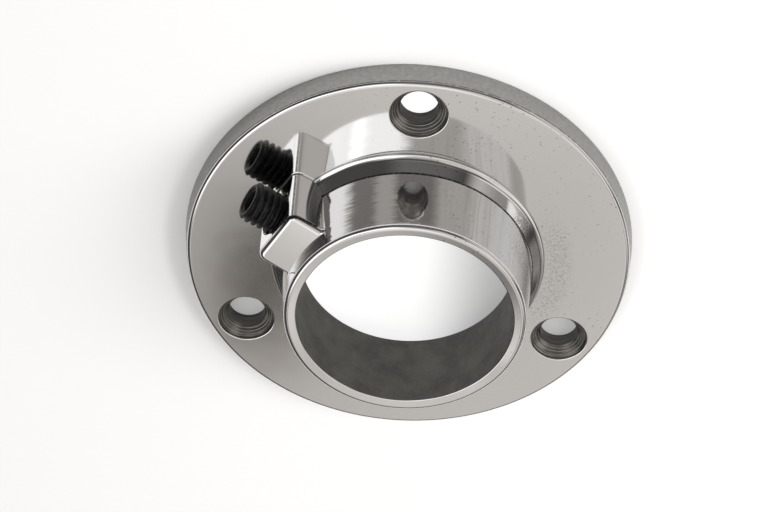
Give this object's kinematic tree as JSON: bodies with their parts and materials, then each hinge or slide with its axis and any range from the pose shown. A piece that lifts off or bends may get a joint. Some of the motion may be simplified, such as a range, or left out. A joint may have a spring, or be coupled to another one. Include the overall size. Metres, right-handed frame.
{
  "type": "wardrobe rail bracket",
  "caption": "Round wall flange with countersunk screw holes and a short sleeve that takes the end of a wardrobe rail, clamped by a set screw in a boss on the sleeve.",
  "frame": {"origin": "centre of the flange's back face, on the rail's axis", "axes": "+Z along the rail, away from the wall; +X towards the boss and its set screw"},
  "size_m": [0.064, 0.064, 0.0172],
  "materials": {
    "polished_metal": "mirror polished, bore left dull",
    "black_oxide_steel": "black oxide, slightly oily"
  },
  "bodies": {
    "bracket": {"bracket_body": "polished_metal"},
    "clamp_screw": {"set_screw": "black_oxide_steel"}
  },
  "joints": [
    {"name": "clamp_travel", "type": "slide", "parent": "bracket", "child": "clamp_screw", "axis": [-1, 0, 0], "range_m": [-0.002, 0.0016]}
  ]
}
